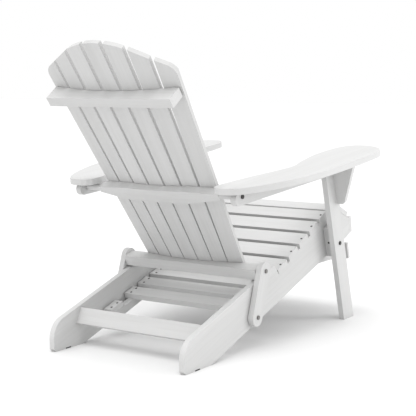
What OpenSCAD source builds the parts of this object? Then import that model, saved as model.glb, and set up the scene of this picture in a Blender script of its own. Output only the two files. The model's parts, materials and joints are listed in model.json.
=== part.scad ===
// Folding adirondack chair with a pull-out footrest, all in painted softwood boards.
// The chair faces -Y, +X is the sitter's left, Z is up. The origin is on the floor,
// under the middle of the chair. Sizes are in millimetres.

/* [Seat frame] */
// Distance between the outer faces of the two side rails
frame_w = 496; // [480:1:510]
// Thickness of the side rails
rail_t = 18; // [15:1:20]
// Slope of the side rails and of the footrest tail
rail_slope = 17.4; // [16:0.1:18.5]
// Slope of the seat, falling towards the back
seat_slope = 25.8; // [25:0.1:26.5]
// Width of a seat slat
seat_slat_w = 61; // [50:1:66]
// Distance from one seat slat to the next
seat_pitch = 76; // [70:0.5:77]
// Thickness of the seat slats
seat_slat_t = 17; // [14:1:17]

/* [Arms] */
// Thickness of the legs, arm rails and brackets
arm_t = 18; // [15:1:20]
// Distance from the centre of the chair to the outer face of a leg
leg_x = 296; // [292:1:300]
// Width of a front leg
leg_w = 70; // [60:1:76]
// Lean of the front legs, their feet being further forward
leg_lean = 16.4; // [14:0.1:18]
// Rise of the armrests towards the front
arm_rise = 5.7; // [5:0.05:6.5]
// Depth of the arm rails at their rear end
arm_rail_d = 38; // [32:1:40]
// Thickness of the armrests
armrest_t = 19; // [15:1:22]

/* [Back] */
// Recline of the back from upright
recline = 36.4; // [35:0.1:38]
// Thickness of the back slats
back_slat_t = 15; // [12:1:16]
// Width of a back slat at its lower rail
back_slat_w0 = 50; // [46:1:50]
// Width of a back slat at its top rail
back_slat_w1 = 55; // [50:1:56]
// Distance between back slats at the lower rail
back_pitch0 = 53; // [52:0.5:54]
// Distance between back slats at the top rail
back_pitch1 = 66.3; // [64:0.5:68]
// Length of the middle back slat above the lower rail
back_h = 825; // [800:1:850]

/* [Footrest] */
// Length of the footrest slats
foot_w = 452; // [440:1:454]
// Width of a footrest slat
foot_slat_w = 50; // [44:1:54]
// Distance from one footrest slat to the next
foot_pitch = 73; // [70:0.5:76]

/* [Hardware] */
// Radius of the pivot bolts
bolt_r = 4; // [3:0.5:5]
// Radius of the bolt heads
head_r = 6.5; // [6:0.5:8]
// Radius of the screw heads
screw_r = 3.5; // [2.5:0.5:4]

/* [Hidden] */
$fn = 64;

// Distance from the heels of the side rails to the middle of the chair
heel_y = 474.46;
wood = "white";
steel = "dimgray";
pad = "black";
// Running clearance of a bolt in its hole, and the gap between separate moving pieces
run_gap = 0.06;
gap = 0.4;

// Side rails: the top and lower edges are straight lines at the rail's slope
rail_in = frame_w / 2 - rail_t;
rail_out = frame_w / 2;
heel_h = 101.5;
heel_r = 62;
toe_y = -121;
nose_y = -977;
rail_rise = tan(rail_slope);
function rail_top_z(y) = 100 + rail_rise * (-32 - y);
function rail_low_z(y) = rail_rise * (toe_y - y);

// Seat: s runs down the seat from the rear edge of the second slat
seat_y = -777;
seat_z = 355;
seat_c = cos(seat_slope);
seat_s = sin(seat_slope);
function seat_point(s, depth) =
    [seat_y + s * seat_c - depth * seat_s, seat_z - s * seat_s - depth * seat_c];
second_slat_w = 52;
front_slat_w = 75;
front_slat_tilt = 9;
front_slat_rear = [-832, 381];
upper_nose_rear = [-925, 386];
upper_nose_tilt = 24;
upper_nose_w = 70;
front_nose_top = [-1016, 341];
front_nose_tilt = 10;
front_nose_h = 56;
nose_t = 18;
last_s = 4 * seat_pitch + gap;

// Pivots of the fold, as [y, z] from the heels
leg_pivot = [-836, 271];
link_low = [-348, 101];
link_high = [-393, 237];
arm_pivot = [-209, 484];
link_in = rail_out + 2;
link_t = 18;
link_w = 56;

// Arms: the underside of the armrests passes through this point, rising to the front
arm_ref = [-194, 496];
leg_in = leg_x - arm_t;
leg_low_y = -914.5;

// Back: its own frame starts on the rear face of the middle slat at the lower rail,
// with Z up along the slats and Y rearward through them
back_ref = [-380, 253];
bow_r = 1100;
top_rail_s = 633;
board_t = 30;
slat_gap = 1.1;
slat_bottom = -36;
arch_r = 225;
arch_join = 118;
corner_r = 46;
corner_x = 184;
fan_s = 650;
function slat_x0(i) = (i - 4) * back_pitch0;
function slat_x1(i) = (i - 4) * back_pitch1;
function bow(x) = -x * x / (2 * bow_r);

// Footrest: its tail is parallel to the side rails and its front part is level
foot_y = -443;
foot_z = 164;
foot_bend = -686;
foot_t = 18;
foot_rail_d = 28;
foot_rail_in = 195;
foot_rail_t = 20;
foot_end_y = -1031;
foot_tail_y = -218;
foot_level_z = foot_z + rail_rise * (foot_y - foot_bend);
function foot_top_z(y) = y < foot_bend ? foot_level_z : foot_z + rail_rise * (foot_y - y);
function foot_under_z(y) = foot_top_z(y) - foot_t / (y < foot_bend ? 1 : cos(rail_slope));
foot_front_lean = 15;
foot_front_z = 239;
function foot_front_y(z) = foot_end_y - (foot_front_z - z) * tan(foot_front_lean);

// The point on a tilted board's upper face that is w forward of its rear edge
function along(rear, w, tilt) = rear + w * [-cos(tilt), sin(tilt)];

// ---- shared shapes ----

// Moves a shape from the heel frame to the chair's own frame
module in_place() { translate([0, heel_y, 0]) children(); }

// Makes a copy on each side of the chair
module both_sides() {
    children();
    mirror([1, 0, 0]) children();
}

// Extrudes an outline drawn in Y and Z from one x to another
module across(x0, x1) {
    translate([x0, 0, 0]) rotate([90, 0, 90]) linear_extrude(x1 - x0) children();
}

// A board lying across the chair, its upper rear edge at [y, z], running forward
// for its width and tilted by the angle that its front edge is raised
module cross_board(half, top, w, t, tilt) {
    translate([0, top[0], top[1]]) rotate([-tilt, 0, 0])
        translate([-half, -w, -t]) cube([2 * half, w, t]);
}

// A round pin along X, from one x to another
module pin(x0, x1, at, r) {
    translate([x0, at[0], at[1]]) rotate([0, 90, 0]) cylinder(r = r, h = x1 - x0);
}

// A screw head set on a surface at [x, y, z]: rot tilts its axis from +Z about X
module screw(at, tilt) {
    translate(at) rotate([tilt, 0, 0]) cylinder(r = screw_r, h = 0.8);
}

// ---- seat frame ----

module rail_outline() {
    polygon(concat(
        [[toe_y, 0], [7, 0], [15.5, 9]],
        [for (a = [0:9:72]) [15.5 - heel_r, heel_h - heel_r] + heel_r * [cos(a), sin(a)]],
        [[-32, 100], [-479, rail_top_z(-479)],
            seat_point(last_s, seat_slat_t),
            seat_point(-second_slat_w - 1, seat_slat_t),
            front_slat_rear + [-3.5, -17],
            [-909, 375.7], [-917.5, 369.9], [-981.5, 341.5],
            [-998, 336.5], [-1007.6, 282.5], [-1000, 277], [nose_y, rail_low_z(nose_y)]]));
}

module side_rail() {
    color(wood) in_place() difference() {
        across(rail_in, rail_out) rail_outline();
        pin(rail_in - 1, rail_out + 1, leg_pivot, bolt_r + run_gap);
        pin(rail_in - 1, rail_out + 1, link_low, bolt_r + run_gap);
        translate([0, -heel_y, 0]) heel_glides(1);
    }
}

// A thin pad let into the underside of each heel, flush with it
module heel_glides(grow) {
    color(pad) in_place() both_sides()
        translate([rail_in - grow, -62, -grow]) cube([rail_t + 2 * grow, 24, 4 + grow]);
}

module rear_stretcher() {
    color(wood) in_place() translate([0, -88, 72]) rotate([28, 0, 0])
        translate([-rail_in, -18, 0]) cube([2 * rail_in, 18, 51]);
}

module seat_slat(i) {
    if (i == 1)
        color(wood) in_place()
            cross_board(rail_out, front_slat_rear, front_slat_w, seat_slat_t - 0.1, front_slat_tilt);
    else
        color(wood) in_place()
            cross_board(rail_out, seat_point((i - 2) * seat_pitch, 0),
                i == 2 ? second_slat_w : seat_slat_w, seat_slat_t, seat_slope);
}

module nose_slat_upper() {
    color(wood) in_place()
        cross_board(rail_out, upper_nose_rear, upper_nose_w, nose_t - 1, -upper_nose_tilt);
}

module nose_slat_front() {
    color(wood) in_place() translate([0, front_nose_top[0], front_nose_top[1]])
        rotate([-front_nose_tilt, 0, 0])
            translate([-rail_out, 0, -front_nose_h]) cube([frame_w, nose_t, front_nose_h]);
}

module footrest_guide() {
    color(wood) in_place()
        translate([rail_in - 16, -880, foot_level_z + 3]) cube([16, 240, 20]);
}

module seat_screws() {
    color(steel) in_place() for (side = [-1, 1]) {
        for (i = [2:6]) {
            w = i == 2 ? second_slat_w : seat_slat_w;
            p = seat_point((i - 2) * seat_pitch - w / 2, 0);
            screw([side * (rail_out - 7), p[0], p[1]], -seat_slope);
        }
        screw(concat(side * (rail_out - 7), along(front_slat_rear, front_slat_w / 2,
            front_slat_tilt)), -front_slat_tilt);
        screw(concat(side * (rail_out - 7), along(upper_nose_rear, upper_nose_w / 2,
            -upper_nose_tilt)), upper_nose_tilt);
        screw([side * (rail_out - 7), -1020.9, 313.3], 90 - front_nose_tilt);
    }
}

// ---- arm frame ----

// Places children in the tilted frame of the armrests, whose Z is 0 on their underside
module arm_frame() {
    in_place() translate([0, arm_ref[0], arm_ref[1]]) rotate([-arm_rise, 0, 0]) children();
}

// Everything that lies under the armrests
module under_arm(y1, y0) {
    arm_frame() translate([0, y1, -700]) cube([500, y0 - y1, 700]);
}

module leg_board(w, z1) {
    in_place() intersection() {
        translate([leg_in, leg_low_y, 0]) rotate([-leg_lean, 0, 0])
            translate([0, -w / 2, -60]) cube([arm_t, w, z1]);
        translate([0, -1200, 0]) cube([500, 1000, 700]);
    }
}

module front_leg() {
    color(wood) difference() {
        intersection() {
            leg_board(leg_w, 800);
            under_arm(-1000, -300);
        }
        in_place() pin(leg_in - 1, leg_x + 1, leg_pivot, bolt_r + run_gap);
    }
}

module leg_spacer() {
    color(wood) difference() {
        in_place() translate([rail_out + gap, leg_pivot[0], leg_pivot[1]]) rotate([-leg_lean, 0, 0])
            translate([0, -28, -46]) cube([leg_in - rail_out - gap, 42, 104]);
        in_place() pin(rail_out - 1, leg_in + 1, leg_pivot, bolt_r + run_gap);
    }
}

// The rear end of an arm rail is round and the front end meets the leg
module arm_rail() {
    r = arm_rail_d / 2;
    color(wood) difference() {
        arm_frame() union() {
            translate([leg_in, 22 - r, -r]) rotate([0, 90, 0]) cylinder(r = r, h = arm_t);
            across(leg_in, leg_in + arm_t)
                polygon([[22 - r, 0], [-640, 0], [-640, -arm_rail_d - 11], [22 - r, -arm_rail_d]]);
        }
        in_place() translate([leg_in - 1, leg_low_y, 0]) rotate([-leg_lean, 0, 0])
            translate([0, -300, 0]) cube([arm_t + 2, 300 + leg_w / 2, 800]);
        in_place() pin(leg_in - 1, leg_x + 1, arm_pivot, bolt_r + run_gap);
    }
}

// Corners of the armrest's outline, joined by a smooth curve
arm_points = [[226, 25], [290, 40], [330, 5], [372, -82], [406, -205], [420, -345],
    [422, -490], [420, -610], [412, -700], [378, -758], [327, -792], [278, -790], [247, -750],
    [236, -665], [238, -560], [258, -440], [278, -350], [266, -260], [240, -125]];
function curve_point(p0, p1, p2, p3, t) =
    0.5 * (2 * p1 + t * (p2 - p0) + t * t * (2 * p0 - 5 * p1 + 4 * p2 - p3)
        + t * t * t * (3 * p1 - p0 - 3 * p2 + p3));
function smooth(p, steps) = let (n = len(p)) [
    for (i = [0:n - 1], k = [0:steps - 1])
        curve_point(p[(i + n - 1) % n], p[i], p[(i + 1) % n], p[(i + 2) % n], k / steps)];

module armrest() {
    color(wood) arm_frame() linear_extrude(armrest_t) polygon(smooth(arm_points, 4));
}

// A bracket under the overhang of the armrest, flush with the leg's front edge
module arm_bracket() {
    color(wood) intersection() {
        in_place() translate([leg_x, leg_low_y, 0]) rotate([-leg_lean, 0, 0])
            translate([0, -leg_w / 2, 0]) rotate([90, 0, 0]) translate([0, 0, -20])
                linear_extrude(20) union() {
                    polygon([[0, 430], [30, 428], [36, 445], [92, 600], [0, 600]]);
                    translate([18, 434]) circle(r = 14);
                    translate([0, 420]) square([18, 14]);
                }
        under_arm(-1000, -300);
    }
}

module leg_pivot_bolts() {
    color(steel) in_place() both_sides() {
        pin(rail_in - 3, leg_x, leg_pivot, bolt_r);
        pin(leg_x, leg_x + 3.5, leg_pivot, head_r);
        pin(rail_in - 3.3, rail_in - gap, leg_pivot, head_r);
    }
}

module arm_pivot_bolts() {
    color(steel) in_place() both_sides() {
        pin(leg_in - 1.5, leg_x, arm_pivot, bolt_r);
        pin(leg_x, leg_x + 3.5, arm_pivot, head_r);
    }
}

module arm_screws() {
    color(steel) in_place() both_sides()
        translate([262, leg_pivot[0], leg_pivot[1]]) rotate([-leg_lean, 0, 0])
            translate([0, 14, 4]) rotate([-90, 0, 0]) cylinder(r = screw_r, h = 0.8);
}

// ---- links ----

module link() {
    len_yz = link_high - link_low;
    color(wood) in_place() difference() {
        across(link_in, link_in + link_t) union() {
            translate(link_low) circle(r = link_w / 2);
            translate(link_high) circle(r = link_w / 2);
            translate(link_low) rotate(atan2(len_yz[1], len_yz[0]))
                translate([0, -link_w / 2]) square([norm(len_yz), link_w]);
        }
        pin(link_in - 1, link_in + link_t + 1, link_low, bolt_r + run_gap);
        pin(link_in - 1, link_in + link_t + 1, link_high, bolt_r + run_gap);
    }
}

module lower_link_bolts() {
    color(steel) in_place() both_sides() {
        pin(rail_in - 3, link_in + link_t, link_low, bolt_r);
        pin(link_in + link_t, link_in + link_t + 3.5, link_low, head_r);
        pin(rail_in - 3.3, rail_in - gap, link_low, head_r);
    }
}

module upper_link_bolts() {
    color(steel) in_place() both_sides() {
        pin(rail_out - 29, link_in + link_t, link_high, bolt_r);
        pin(link_in + link_t, link_in + link_t + 3.5, link_high, head_r);
    }
}

// ---- back ----

module on_back() {
    in_place() translate([0, back_ref[0], back_ref[1]]) rotate([-recline, 0, 0]) children();
}

// The space in front of the slats' bowed rear faces, between two heights on the back
module bow_space(s0, s1) {
    translate([0, -bow_r, s0]) cylinder(r = bow_r, h = s1 - s0, $fn = 200);
}

// A slat widens upwards and fans out from the middle of the back
module slat_board(i) {
    x0 = slat_x0(i);
    x1 = slat_x1(i);
    grow = (back_slat_w1 - back_slat_w0) / fan_s;
    w0 = back_slat_w0 / 2 + grow * slat_bottom / 2;
    w1 = back_slat_w0 / 2 + grow * 900 / 2;
    translate([x0, bow(x0) - slat_gap, 0])
        rotate([-atan((bow(x1) - bow(x0)) / fan_s), atan((x1 - x0) / fan_s), 0])
            rotate([0, 0, -asin((x0 + x1) / 2 / bow_r)])
                rotate([90, 0, 0]) linear_extrude(back_slat_t)
                    polygon([[-w0, slat_bottom], [w0, slat_bottom], [w1, 900], [-w1, 900]]);
}

// The arched outline of the top of the back
module arch_outline() {
    top = back_h - arch_r + sqrt(arch_r * arch_r - arch_join * arch_join);
    slope = arch_join / (top - back_h + arch_r);
    steep = sqrt(1 + slope * slope);
    corner_s = top - slope * (corner_x - arch_join) - corner_r * steep;
    touch = [corner_x + corner_r * slope / steep, corner_s + corner_r / steep];
    polygon([[-corner_x, -100], [corner_x, -100], [corner_x, corner_s], touch,
        [arch_join, top], [-arch_join, top], [-touch[0], touch[1]], [-corner_x, corner_s]]);
    translate([0, back_h - arch_r]) circle(r = arch_r);
    for (side = [-1, 1]) {
        translate([side * corner_x, corner_s]) circle(r = corner_r);
        translate([side * corner_x - corner_r, -100]) square([2 * corner_r, corner_s + 100]);
    }
}

module back_slat(i) {
    color(wood) on_back() intersection() {
        slat_board(i);
        translate([0, 50, 0]) rotate([90, 0, 0]) linear_extrude(150) arch_outline();
    }
}

// The lower rail lies on the side rails and is cut to the bow of the slats
module lower_back_rail() {
    color(wood) difference() {
        in_place() cross_board(rail_out + 1, [-357.8, 243.5], 43, 33, rail_slope);
        on_back() bow_space(-100, 100);
        in_place() for (side = [-1, 1])
            translate([side * (rail_out - 14), 0, 0])
                pin(-16, 16, link_high, bolt_r + run_gap);
    }
}

// The middle rail is bowed rearwards and tapers to round ends, which reach the arm rails' bolts
module middle_back_rail() {
    half = 222;
    full = 110;
    end_r = 10;
    end_s = 287;
    deep = 24;
    rear_r = half * half / (2 * (deep - end_r - 1));
    color(wood) on_back() union() {
        difference() {
            intersection() {
                translate([0, 0, end_s - 25]) linear_extrude(48) intersection() {
                    polygon([[-half, -9], [-190, -17], [190, -17], [half, -9], [half, 60], [-half, 60]]);
                    translate([0, deep - rear_r]) circle(r = rear_r, $fn = 360);
                }
                translate([0, 100, end_s]) rotate([90, 0, 0]) linear_extrude(200)
                    polygon([[-half, -end_r], [-full, -25], [full, -25], [half, -end_r],
                        [half, end_r], [full, 23], [-full, 23], [-half, end_r]]);
            }
            bow_space(200, 400);
        }
        for (side = [-1, 1]) translate([side * (190 + leg_in - 3) / 2, 1, end_s])
            rotate([0, 90, 0]) cylinder(r = end_r, h = leg_in - 3 - 190, center = true);
    }
}

module top_back_rail() {
    half = 221;
    color(wood) on_back() difference() {
        translate([-half, -18, top_rail_s]) cube([2 * half, 54, board_t]);
        bow_space(top_rail_s - 1, top_rail_s + board_t + 1);
    }
}

module back_screws() {
    color(steel) on_back() for (i = [1:7], s = [-10, 286, 648]) {
        x0 = slat_x0(i);
        x1 = slat_x1(i);
        translate([x0, bow(x0) - slat_gap, 0])
            rotate([-atan((bow(x1) - bow(x0)) / fan_s), atan((x1 - x0) / fan_s), 0])
                rotate([0, 0, -asin((x0 + x1) / 2 / bow_r)])
                    translate([0, -back_slat_t, s]) rotate([90, 0, 0])
                        cylinder(r = screw_r, h = 0.8);
    }
}

// ---- footrest ----

module footrest_rail() {
    level = foot_level_z - foot_t;
    drop = 38;
    color(wood) in_place() across(foot_rail_in, foot_rail_in + foot_rail_t) polygon([
        [foot_tail_y, foot_under_z(foot_tail_y)],
        [foot_bend, foot_under_z(foot_bend)],
        [foot_bend - 1.5, level],
        [foot_front_y(level) + 0.2, level],
        [foot_front_y(level - drop) + 0.2, level - drop],
        [foot_end_y + 12, level - drop],
        [foot_end_y + 50, level - foot_rail_d],
        [foot_bend + 4, level - foot_rail_d],
        [foot_tail_y - 8, foot_under_z(foot_tail_y - 8) - foot_rail_d]]);
}

// Slats 1 to 5 lie on the level front part, slats 6 to 10 on the sloping tail
function foot_slat_y(i) = i < 6
    ? foot_bend - 2.4 + (i - 5) * foot_pitch * cos(rail_slope)
    : foot_y + (foot_slat_w + (i - 9) * foot_pitch) * cos(rail_slope);

module footrest_slat(i) {
    y = foot_slat_y(i);
    tilt = i < 6 ? 0 : rail_slope;
    color(wood) in_place()
        cross_board(foot_w / 2, [y, foot_top_z(y)], foot_slat_w, foot_t, tilt);
}

module footrest_front_slat() {
    color(wood) in_place() translate([0, foot_end_y, foot_front_z]) rotate([-foot_front_lean, 0, 0])
        translate([-foot_w / 2, -12, -58]) cube([foot_w, 12, 58]);
}

module footrest_centre_support() {
    rear = foot_slat_y(9) - 3;
    reach = (rear - foot_bend - 12) / cos(rail_slope);
    color(wood) in_place() translate([-30, rear, foot_top_z(rear)]) rotate([-rail_slope, 0, 0])
        translate([0, -reach, -2 * foot_t - 0.1]) cube([60, reach, foot_t]);
}

module footrest_block() {
    color(wood) in_place() translate([0, foot_tail_y, foot_top_z(foot_tail_y)])
        rotate([-rail_slope, 0, 0]) translate([foot_w / 2 - 30, -62, -foot_t]) cube([30, 62, foot_t]);
}

module footrest_screws() {
    color(steel) in_place() for (side = [-1, 1]) {
        for (i = [1:10], k = [11, 39]) {
            tilt = i < 6 ? 0 : rail_slope;
            y = foot_slat_y(i);
            translate([side * 206, y, foot_top_z(y)]) rotate([-tilt, 0, 0])
                translate([0, -k, 0]) cylinder(r = screw_r, h = 0.8);
        }
        translate([side * 206, foot_tail_y, foot_top_z(foot_tail_y)])
            rotate([-rail_slope, 0, 0]) for (k = [16, 46])
                translate([0, -k, 0]) cylinder(r = screw_r, h = 0.8);
    }
}

// ---- nodes ----

side_rail();  // side_rail_left
mirror([1, 0, 0]) side_rail();  // side_rail_right
rear_stretcher();
for (i = [1:6]) seat_slat(i);
nose_slat_upper();
nose_slat_front();
footrest_guide();  // footrest_guide_left
mirror([1, 0, 0]) footrest_guide();  // footrest_guide_right
heel_glides(0);
seat_screws();
front_leg();  // front_leg_left
mirror([1, 0, 0]) front_leg();  // front_leg_right
leg_spacer();  // leg_spacer_left
mirror([1, 0, 0]) leg_spacer();  // leg_spacer_right
arm_rail();  // arm_rail_left
mirror([1, 0, 0]) arm_rail();  // arm_rail_right
armrest();  // armrest_left
mirror([1, 0, 0]) armrest();  // armrest_right
arm_bracket();  // arm_bracket_left
mirror([1, 0, 0]) arm_bracket();  // arm_bracket_right
leg_pivot_bolts();
arm_pivot_bolts();
arm_screws();
link();  // link_left
mirror([1, 0, 0]) link();  // link_right
lower_link_bolts();
upper_link_bolts();
for (i = [1:7]) back_slat(i);
lower_back_rail();
middle_back_rail();
top_back_rail();
back_screws();
footrest_rail();  // footrest_rail_left
mirror([1, 0, 0]) footrest_rail();  // footrest_rail_right
for (i = [1:10]) footrest_slat(i);
footrest_front_slat();
footrest_centre_support();
footrest_block();  // footrest_block_left
mirror([1, 0, 0]) footrest_block();  // footrest_block_right
footrest_screws();
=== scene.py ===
import json
import math

import bmesh
import bpy
import numpy as np
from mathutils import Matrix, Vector


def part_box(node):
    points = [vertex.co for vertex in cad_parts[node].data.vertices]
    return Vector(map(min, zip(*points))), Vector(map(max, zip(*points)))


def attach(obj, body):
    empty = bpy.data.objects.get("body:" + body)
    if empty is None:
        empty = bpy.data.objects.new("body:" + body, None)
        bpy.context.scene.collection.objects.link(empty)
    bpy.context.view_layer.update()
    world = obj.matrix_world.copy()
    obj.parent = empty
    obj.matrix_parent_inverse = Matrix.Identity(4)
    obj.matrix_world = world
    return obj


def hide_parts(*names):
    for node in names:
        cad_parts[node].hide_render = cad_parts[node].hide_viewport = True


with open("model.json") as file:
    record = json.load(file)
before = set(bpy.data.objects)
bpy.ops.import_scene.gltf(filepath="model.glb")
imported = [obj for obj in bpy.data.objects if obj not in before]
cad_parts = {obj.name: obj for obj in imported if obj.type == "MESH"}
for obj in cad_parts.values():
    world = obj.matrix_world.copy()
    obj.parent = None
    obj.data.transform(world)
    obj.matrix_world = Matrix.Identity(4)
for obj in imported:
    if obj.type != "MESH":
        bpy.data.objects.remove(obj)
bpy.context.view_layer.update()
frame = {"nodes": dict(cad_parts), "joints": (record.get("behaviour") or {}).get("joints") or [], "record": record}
nodes = frame["nodes"]
record = frame["record"]

# ---------------------------------------------------------------- sizes, in metres and degrees

# Slopes of the boards
RAIL_SLOPE = math.radians(17.4)
LEG_LEAN = math.radians(16.4)
ARM_RISE = math.radians(5.7)
RECLINE = math.radians(36.4)

# How far the edges of the boards and bolt heads are rounded
EDGE = 0.0032
SMALL_EDGE = 0.0022
ARMREST_EDGE = 0.0055
BOLT_EDGE = 0.0016
EDGE_SEGMENTS = 3
SHARP = math.radians(38)

# Grain is stretched this much along a board
GRAIN_SQUEEZE = 0.035

# Screw heads: the slot's sizes and the dome's fall are parts of the radius and the depth
HEAD_SIDES = 24
HEAD_RINGS = 7
SLOT_WIDTH = 0.2
SLOT_REACH = 0.62
SLOT_DEPTH = 1.3
DOME_FALL = 0.8
HEAD_TURN = 1.7

# The camera stands behind the chair, on the sitter's right
CAMERA_X = -1.93992
CAMERA_BEHIND_RAIL_FRONTS = 3.46122
CAMERA_HEIGHT = 0.81769
CAMERA_YAW = math.radians(33.49)
CAMERA_PITCH = math.radians(6.68)
CAMERA_LENS = 94.65
CAMERA_SENSOR = 36

FLOOR_HALF = 30

# ---------------------------------------------------------------- directions of the boards

ACROSS = Vector((1, 0, 0))
FORE_AND_AFT = Vector((0, 1, 0))
ALONG_RAIL = Vector((0, -math.cos(RAIL_SLOPE), math.sin(RAIL_SLOPE)))
ALONG_LEG = Vector((0, math.sin(LEG_LEAN), math.cos(LEG_LEAN)))
ALONG_ARM = Vector((0, -math.cos(ARM_RISE), math.sin(ARM_RISE)))
UP_BACK = Vector((0, math.sin(RECLINE), math.cos(RECLINE)))

# The lengths at the foot and at the top of a back slat in which its ends are looked for
SLAT_FOOT = 0.02
SLAT_TOP = 0.12


def link_direction():
    """The line between the two pivots of a link."""
    joints = {joint["name"]: joint for joint in frame["joints"]}
    low, high = (Vector(joints[name]["pos_m"]) for name in ("fold", "back_fold"))
    return (high - low).normalized()


def slat_direction(node):
    """The middle line of a back slat, from the middles of its two ends."""
    points = [vertex.co for vertex in nodes[node].data.vertices]
    heights = [point.dot(UP_BACK) for point in points]
    foot, top = min(heights) + SLAT_FOOT, max(heights) - SLAT_TOP
    lower = [point for point, height in zip(points, heights) if height < foot]
    upper = [point for point, height in zip(points, heights) if height > top]
    lower_middle = sum(lower, Vector()) / len(lower)
    upper_middle = sum(upper, Vector()) / len(upper)
    return (upper_middle - lower_middle).normalized()


def grain_direction(node):
    """The direction in which the grain of a board runs."""
    if node.startswith(("side_rail", "footrest_rail", "footrest_centre", "footrest_block")):
        return ALONG_RAIL
    if node.startswith(("front_leg", "leg_spacer", "arm_bracket")):
        return ALONG_LEG
    if node.startswith(("arm_rail", "armrest")):
        return ALONG_ARM
    if node.startswith("footrest_guide"):
        return FORE_AND_AFT
    if node.startswith("link_"):
        return link_direction()
    if node.startswith("back_slat"):
        return slat_direction(node)
    return ACROSS


# ---------------------------------------------------------------- building node trees

class NodeTree:
    """Short hand for building the node tree of a material."""

    def __init__(self, name):
        self.material = bpy.data.materials.new(name)
        self.material.use_nodes = True
        self.tree = self.material.node_tree
        self.shader = self.tree.nodes["Principled BSDF"]

    def add(self, kind, **settings):
        made = self.tree.nodes.new(kind)
        for key, value in settings.items():
            setattr(made, key, value)
        return made

    def feed(self, socket, value):
        """Sets a socket to a number or a colour, or links it to another node's output."""
        if isinstance(value, (int, float)):
            socket.default_value = value
        elif isinstance(value, tuple):
            socket.default_value = (*value, 1)
        else:
            self.tree.links.new(value, socket)

    def set_shader(self, **values):
        """Feeds inputs of the shader, named with underscores for spaces."""
        for name, value in values.items():
            self.feed(self.shader.inputs[name.replace("_", " ")], value)

    def math(self, operation, *values):
        made = self.add("ShaderNodeMath", operation=operation)
        for socket, value in zip(made.inputs, values):
            self.feed(socket, value)
        return made.outputs[0]

    def inverse(self, value):
        return self.math("SUBTRACT", 1.0, value)

    def place(self):
        return self.add("ShaderNodeTexCoord").outputs["Object"]

    def along(self, vector, direction, offset):
        dot = self.add("ShaderNodeVectorMath", operation="DOT_PRODUCT")
        self.feed(dot.inputs[0], vector)
        dot.inputs[1].default_value = direction
        return self.math("ADD", dot.outputs["Value"], offset)

    def noise(self, vector, scale, detail, roughness, distortion=0.0):
        made = self.add("ShaderNodeTexNoise")
        settings = {"Vector": vector, "Scale": scale, "Detail": detail,
                    "Roughness": roughness, "Distortion": distortion}
        for name, value in settings.items():
            self.feed(made.inputs[name], value)
        return made.outputs["Fac"]

    def ramp(self, value, stops):
        made = self.add("ShaderNodeValToRGB")
        self.feed(made.inputs[0], value)
        elements = made.color_ramp.elements
        while len(elements) < len(stops):
            elements.new(0.5)
        for element, (place, colour) in zip(elements, stops):
            element.position = place
            element.color = (*colour, 1)
        return made.outputs[0]

    def mix(self, factor, a, b):
        made = self.add("ShaderNodeMix", data_type="RGBA")
        for number, value in ((0, factor), (6, a), (7, b)):
            self.feed(made.inputs[number], value)
        return made.outputs[2]

    def bump(self, height, strength, distance):
        made = self.add("ShaderNodeBump")
        for name, value in {"Height": height, "Strength": strength, "Distance": distance}.items():
            self.feed(made.inputs[name], value)
        self.set_shader(Normal=made.outputs[0])

    def grain_space(self, direction, seed):
        """Coordinates of a board: x and y across it, z along its grain."""
        side = direction.cross(Vector((0.31, 0.23, 0.92))).normalized()
        third = direction.cross(side).normalized()
        place = self.place()
        combined = self.add("ShaderNodeCombineXYZ")
        axes = ((side, 1.0, 0.37), (third, 1.0, 0.53), (direction, GRAIN_SQUEEZE, 0.71))
        for socket, (axis, squeeze, shift) in zip(combined.inputs, axes):
            self.feed(socket, self.math("MULTIPLY", self.along(place, axis, shift * seed), squeeze))
        return combined.outputs[0]


def grey(tone):
    return (tone, tone, tone)


# ---------------------------------------------------------------- materials

def painted_wood(name, direction, seed):
    """White satin paint over planed softwood: the grain shows as faint long ridges, and painted shade darkens
    corners and crevices.
    """
    paint_dull = (0.565, 0.565, 0.562)
    paint_bright = (0.61, 0.61, 0.608)
    in_grain = (0.47, 0.467, 0.455)
    # colour of the painted shade in corners, crevices and between parts
    crevice_shade_colour = (0.29, 0.287, 0.28)

    tree = NodeTree(name)
    space = tree.grain_space(direction, seed)
    rings = tree.noise(space, 150, 3, 0.55, 0.5)
    fibres = tree.noise(space, 700, 3, 0.6)
    broad = tree.noise(space, 14, 2, 0.5)
    brush = tree.noise(tree.place(), 260, 2, 0.5)
    ridge = tree.ramp(rings, [(0.34, grey(0.0)), (0.5, grey(0.75)), (0.62, grey(1.0))])

    tone = tree.ramp(broad, [(0.3, paint_dull), (0.7, paint_bright)])
    grained = tree.mix(tree.math("MULTIPLY", tree.inverse(ridge), 0.2), tone, in_grain)
    # Painted shade: ambient occlusion darkens the paint where other surfaces lie close, in corners and between
    # parts
    openness = tree.add("ShaderNodeAmbientOcclusion", samples=6)
    openness.inputs["Distance"].default_value = 0.022
    painted_crevice_shade = tree.math("MULTIPLY", tree.inverse(openness.outputs["AO"]), 0.28)
    tree.set_shader(Base_Color=tree.mix(painted_crevice_shade, grained, crevice_shade_colour),
                    Roughness=tree.math("MULTIPLY_ADD", fibres, 0.16, 0.36),
                    Specular_IOR_Level=0.4)

    fine = tree.math("ADD", tree.math("MULTIPLY", fibres, 0.35), tree.math("MULTIPLY", brush, 0.2))
    height = tree.math("ADD", tree.math("MULTIPLY", ridge, 0.6), fine)
    tree.bump(height, 0.22, 0.0006)
    return tree.material


def worn_steel(name, tones):
    """Steel in three tones, from its dark patches to its rubbed spots, with a fine grit."""
    tree = NodeTree(name)
    place = tree.place()
    patches = tree.noise(place, 420, 4, 0.6)
    grit = tree.noise(place, 2400, 2, 0.5)
    warm = [(tone, tone * 0.97, tone * 0.94) for tone in tones]
    tree.set_shader(Base_Color=tree.ramp(patches, list(zip((0.35, 0.62, 0.8), warm))),
                    Metallic=0.85,
                    Roughness=tree.math("MULTIPLY_ADD", grit, 0.25, 0.34))
    tree.bump(grit, 0.3, 0.0003)
    return tree.material


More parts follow.
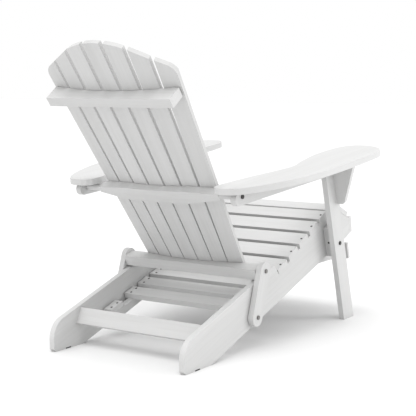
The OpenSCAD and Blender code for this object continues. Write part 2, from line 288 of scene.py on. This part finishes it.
def moulded_plastic(name):
    """Black plastic with a moulded texture and a little floor dust."""
    tree = NodeTree(name)
    place = tree.place()
    dust = tree.noise(place, 90, 3, 0.6)
    pits = tree.noise(place, 1500, 2, 0.5)
    tree.set_shader(Base_Color=tree.ramp(dust, [(0.4, grey(0.012)), (0.75, (0.05, 0.048, 0.045))]),
                    Roughness=tree.math("MULTIPLY_ADD", pits, 0.2, 0.45))
    return tree.material


def floor_paint(name):
    """Matt pale paint with very faint clouds."""
    tree = NodeTree(name)
    cloud = tree.noise(tree.place(), 0.6, 2, 0.5)
    tree.set_shader(Base_Color=tree.ramp(cloud, [(0.3, grey(0.80)), (0.7, grey(0.815))]),
                    Roughness=0.95,
                    Specular_IOR_Level=0.05)
    return tree.material


# ---------------------------------------------------------------- boards and bolts

dark_steel = worn_steel("dark_steel", (0.028, 0.07, 0.15))
dull_steel = worn_steel("dull_steel", (0.17, 0.26, 0.36))
plastic = moulded_plastic("black_plastic")


def dress(node, material):
    """Gives a CAD node its material."""
    mesh = nodes[node].data
    mesh.materials.clear()
    mesh.materials.append(material)


def round_edges(node, width):
    """Rounds the sharp edges of a CAD node, which keeps it inside its CAD shape."""
    bevel = nodes[node].modifiers.new("rounded", "BEVEL")
    bevel.width = width
    bevel.segments = EDGE_SEGMENTS
    bevel.limit_method = "ANGLE"
    bevel.angle_limit = SHARP
    bevel.use_clamp_overlap = True
    bevel.harden_normals = True


def edge_of(board):
    """How far the edges of a board are rounded."""
    if board.startswith("armrest"):
        return ARMREST_EDGE
    if board.startswith(("footrest_block", "leg_spacer")):
        return SMALL_EDGE
    return EDGE


slot_of = {part["node"]: part["material_slot"] for part in record["subparts"]}

for number, node in enumerate(sorted(nodes)):
    if slot_of[node] == "painted_wood":
        dress(node, painted_wood(f"painted_{node}", grain_direction(node), number + 1))
        round_edges(node, edge_of(node))
    elif slot_of[node] == "black_plastic":
        dress(node, plastic)
    else:
        dress(node, dull_steel if "link_bolts" in node else dark_steel)
        if "bolts" in node:
            round_edges(node, BOLT_EDGE)


# ---------------------------------------------------------------- screw heads

def connected(start, seen):
    """The places of all vertices that edges join to this one."""
    group, waiting = [], [start]
    seen.add(start)
    while waiting:
        vertex = waiting.pop()
        group.append(vertex.co.copy())
        for edge in vertex.link_edges:
            other = edge.other_vert(vertex)
            if other not in seen:
                seen.add(other)
                waiting.append(other)
    return np.array(group)


def plain_heads(node):
    """The middle, axis, radius and half height of each flat disc in a node."""
    mesh = bmesh.new()
    mesh.from_mesh(nodes[node].data)
    bmesh.ops.remove_doubles(mesh, verts=mesh.verts, dist=1e-6)
    seen, found = set(), []
    for start in mesh.verts:
        if start in seen:
            continue
        points = connected(start, seen)
        middle = (points.min(0) + points.max(0)) / 2
        _, _, axes = np.linalg.svd(points - points.mean(0))
        radius = np.abs((points - middle) @ axes[0]).max()
        depth = np.abs((points - middle) @ axes[2]).max()
        found.append((Vector(middle), Vector(axes[2]), float(radius), float(depth)))
    mesh.free()
    return found


def head_height(x, y, depth):
    """Height of a domed head with a cross recess, at x and y in parts of its radius."""
    dome = depth * (1 - DOME_FALL * math.hypot(x, y) ** 2)
    near, far = sorted((abs(x), abs(y)))
    recessed = near < SLOT_WIDTH / 2 and far < SLOT_REACH
    return dome - depth * SLOT_DEPTH if recessed else dome


def add_screw(mesh, at, axis, radius, depth, turn):
    """A shallow domed head with a cross recess, in the place of a flat disc."""
    up = axis.normalized()
    side = up.cross(Vector((0.2, 0.4, 0.3))).normalized()
    front = up.cross(side)
    angles = [2 * math.pi * k / HEAD_SIDES for k in range(HEAD_SIDES)]

    def vertex(angle, reach, height):
        across = side * math.cos(angle + turn) + front * math.sin(angle + turn)
        return mesh.verts.new(at + across * (reach * radius) + up * height)

    centre = vertex(0, 0, head_height(0, 0, depth))
    rings = []
    for ring in range(1, HEAD_RINGS + 1):
        r = ring / HEAD_RINGS
        rings.append([vertex(a, r, head_height(r * math.cos(a), r * math.sin(a), depth))
                      for a in angles])
    rings.append([vertex(a, 1, -depth) for a in angles])
    for k in range(HEAD_SIDES):
        j = (k + 1) % HEAD_SIDES
        mesh.faces.new((centre, rings[0][k], rings[0][j]))
        for inner, outer in zip(rings, rings[1:]):
            mesh.faces.new((inner[k], outer[k], outer[j], inner[j]))
    mesh.faces.new(list(reversed(rings[-1])))


def screw_heads(node, body, outward):
    """One piece with a detailed head in the place of each plain one."""
    mesh = bmesh.new()
    for number, (at, axis, radius, depth) in enumerate(plain_heads(node)):
        facing = axis if axis.dot(outward) > 0 else -axis
        add_screw(mesh, at, facing, radius, depth, HEAD_TURN * number)
    data = bpy.data.meshes.new(f"{node}_heads")
    mesh.to_mesh(data)
    mesh.free()
    piece = bpy.data.objects.new(f"{node}_heads", data)
    bpy.context.scene.collection.objects.link(piece)
    data.materials.append(dark_steel)
    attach(piece, body)
    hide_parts(node)


screw_heads("seat_screws", "seat_frame", Vector((0, -0.3, 1)))
screw_heads("arm_screws", "arm_frame", Vector((0, 0.5, 1)))
screw_heads("back_screws", "back", Vector((0, -1, 0.7)))
screw_heads("footrest_screws", "footrest", Vector((0, 0, 1)))


# ---------------------------------------------------------------- floor, light and camera

def pale_floor():
    """A wide matt floor, almost as bright as the studio around it."""
    mesh = bmesh.new()
    mesh.faces.new([mesh.verts.new((x * FLOOR_HALF, y * FLOOR_HALF, 0))
                    for x, y in ((-1, -1), (1, -1), (1, 1), (-1, 1))])
    data = bpy.data.meshes.new("floor")
    mesh.to_mesh(data)
    mesh.free()
    floor = bpy.data.objects.new("floor", data)
    bpy.context.scene.collection.objects.link(floor)
    data.materials.append(floor_paint("pale_floor"))


def add_light(name, data, power, at, towards):
    """Puts a light at a place, with its back to a direction."""
    data.energy = power
    light = bpy.data.objects.new(name, data)
    light.location = at
    light.rotation_euler = towards.to_track_quat("Z", "Y").to_euler()
    bpy.context.scene.collection.objects.link(light)


def soft_sun(name, towards, strength, spread):
    """An even light from one side of the sky, wide enough for soft shadows."""
    data = bpy.data.lights.new(name, "SUN")
    data.angle = math.radians(spread)
    add_light(name, data, strength, (0, 0, 0), Vector(towards))


def area_light(name, at, target, size, power):
    """A round lamp at a place, aimed at another."""
    data = bpy.data.lights.new(name, "AREA")
    data.shape = "DISK"
    data.size = size
    add_light(name, data, power, at, Vector(at) - Vector(target))


def place_camera():
    forward = Vector((math.sin(CAMERA_YAW) * math.cos(CAMERA_PITCH),
                      -math.cos(CAMERA_YAW) * math.cos(CAMERA_PITCH), -math.sin(CAMERA_PITCH)))
    rail_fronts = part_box("side_rail_left")[0].y
    data = bpy.data.cameras.new("camera")
    data.lens = CAMERA_LENS
    data.sensor_width = CAMERA_SENSOR
    camera = bpy.data.objects.new("camera", data)
    camera.location = (CAMERA_X, rail_fronts + CAMERA_BEHIND_RAIL_FRONTS, CAMERA_HEIGHT)
    camera.rotation_euler = forward.to_track_quat("-Z", "Y").to_euler()
    bpy.context.scene.collection.objects.link(camera)
    bpy.context.scene.camera = camera


def white_studio():
    world = bpy.data.worlds.new("studio")
    world.use_nodes = True
    background = world.node_tree.nodes["Background"]
    background.inputs["Color"].default_value = (1, 1, 1, 1)
    background.inputs["Strength"].default_value = 1.0
    bpy.context.scene.world = world
    bpy.context.scene.view_settings.view_transform = "Standard"
    bpy.context.scene.view_settings.look = "None"


pale_floor()
soft_sun("key", (-0.02, 0.34, 1.0), 1.4, 50)
area_light("side", (-2.5, -1.7, 1.3), (-0.2, -0.3, 0.4), 1.5, 21)
place_camera()
white_studio()
